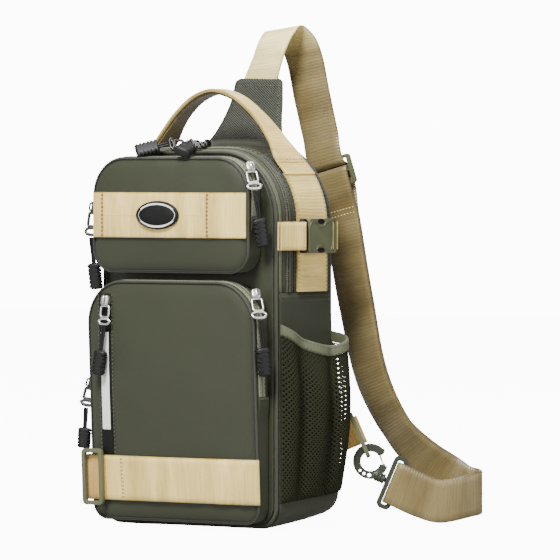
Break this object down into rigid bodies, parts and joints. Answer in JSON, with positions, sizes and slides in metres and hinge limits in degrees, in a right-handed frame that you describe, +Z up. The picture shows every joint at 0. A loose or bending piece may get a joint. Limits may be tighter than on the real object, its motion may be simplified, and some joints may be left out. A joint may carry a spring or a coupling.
{
  "type": "sling bag",
  "caption": "Upright sling bag with stacked front pockets, side mesh pocket, webbing bands, carry handle, zip pulls and a shoulder strap clipped by a swivel snap hook.",
  "frame": {"origin": "under the crown of the shoulder strap's top fold, where the bag hangs from a bar or hook", "axes": "+X to the right of the front, +Y to the back panel, +Z up"},
  "size_m": [0.3171, 0.1977, 0.4415],
  "materials": {
    "coated_cloth": "matte coated cloth",
    "light_cloth": "matte cloth",
    "zip_tape": "woven tape and coil",
    "dark_edge": "matte cloth",
    "air_mesh": "open net",
    "back_padding": "matte",
    "twill": "twill",
    "tan_webbing": "satin ribbed webbing",
    "gold_webbing": "satin ribbed webbing",
    "black_tape": "coated zip tape",
    "white_strip": "matte",
    "badge": "moulded rubber",
    "olive_plastic": "satin moulded plastic",
    "metal": "bright nickel",
    "grip_rubber": "matte rubber"
  },
  "bodies": {
    "bag": {"main_front_panel": "coated_cloth", "gusset_lower": "coated_cloth", "gusset_rear": "coated_cloth", "upper_face": "coated_cloth", "upper_gusset": "coated_cloth", "lower_face": "coated_cloth", "lower_gusset": "coated_cloth", "gusset_front": "light_cloth", "front_piping": "light_cloth", "mesh_binding": "light_cloth", "main_zip": "zip_tape", "upper_zip": "zip_tape", "lower_zip": "zip_tape", "back_piping": "dark_edge", "mesh_pocket": "air_mesh", "back_panel": "back_padding", "shoulder_tab": "twill", "upper_band": "tan_webbing", "lower_band": "tan_webbing", "side_web_right": "tan_webbing", "side_web_left": "tan_webbing", "carry_handle": "tan_webbing", "compress_front": "tan_webbing", "compress_rear": "tan_webbing", "shoulder_strap": "tan_webbing", "ring_loop_front": "gold_webbing", "ring_loop_rear": "gold_webbing", "slit_tape": "black_tape", "slit_strip": "white_strip", "badge": "badge", "buckle_socket": "olive_plastic", "buckle_plug": "olive_plastic", "strap_adjuster": "olive_plastic", "swivel_base": "olive_plastic", "hook_ring": "olive_plastic", "band_ring": "olive_plastic", "slider_upper_right": "metal", "link_upper_right": "metal", "slider_upper_left": "metal", "link_upper_left": "metal", "slider_lower_right": "metal", "link_lower_right": "metal", "slider_lower_left": "metal", "link_lower_left": "metal", "slider_slit": "metal", "link_slit": "metal", "slider_main_left": "metal", "link_main_left": "metal", "slider_main_right": "metal", "link_main_right": "metal", "grip_upper_right": "grip_rubber", "grip_upper_left": "grip_rubber", "grip_lower_right": "grip_rubber", "grip_lower_left": "grip_rubber", "grip_slit": "grip_rubber", "grip_main_left": "grip_rubber", "grip_main_right": "grip_rubber"},
    "hook": {"snap_hook": "olive_plastic"},
    "gate": {"hook_gate": "metal"}
  },
  "joints": [
    {"name": "hook_swivel", "type": "hinge", "parent": "bag", "child": "hook", "pos_m": [0.10996, 0.00059, -0.396], "axis": [0.7463, 0.5423, -0.3859], "range_deg": [-8, 8]},
    {"name": "hook_gate", "type": "hinge", "parent": "hook", "child": "gate", "pos_m": [0.10868, -0.00034, -0.38334], "axis": [0.5878, -0.809, 0], "range_deg": [0, 35], "stiffness_Nm_per_rad": 0.01, "springref_deg": -17.19}
  ]
}
